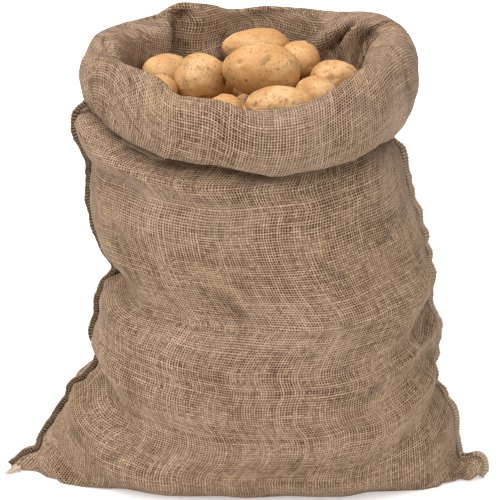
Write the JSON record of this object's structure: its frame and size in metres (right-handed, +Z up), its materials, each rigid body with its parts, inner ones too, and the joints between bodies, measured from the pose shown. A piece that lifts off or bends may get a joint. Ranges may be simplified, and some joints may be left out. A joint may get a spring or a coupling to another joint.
{
  "type": "filled hessian sack",
  "caption": "Open hessian sack standing on its folded base, mouth rolled outwards into a soft cuff, overlocked side seams, heaped with potatoes",
  "frame": {"origin": "centre of the bounding box in X and Y, at the height of the face the sack stands on", "axes": "+X runs to the right seen from the front; the front faces -Y; +Z up"},
  "size_m": [0.4925, 0.3014, 0.4623],
  "materials": {
    "hessian": "coarse plain-weave natural jute, dull",
    "overlock_thread": "twisted jute overlock stitching, dull",
    "potato_skin": "thin matt potato skin"
  },
  "bodies": {
    "root": {"sack": "hessian", "seam_left": "overlock_thread", "seam_right": "overlock_thread", "potato_01": "potato_skin", "potato_02": "potato_skin", "potato_03": "potato_skin", "potato_04": "potato_skin", "potato_05": "potato_skin", "potato_06": "potato_skin", "potato_07": "potato_skin", "potato_08": "potato_skin", "potato_09": "potato_skin", "potato_10": "potato_skin", "potato_11": "potato_skin", "potato_12": "potato_skin", "potato_13": "potato_skin", "potato_14": "potato_skin", "potato_15": "potato_skin", "potato_fill": "potato_skin"}
  },
  "joints": []
}
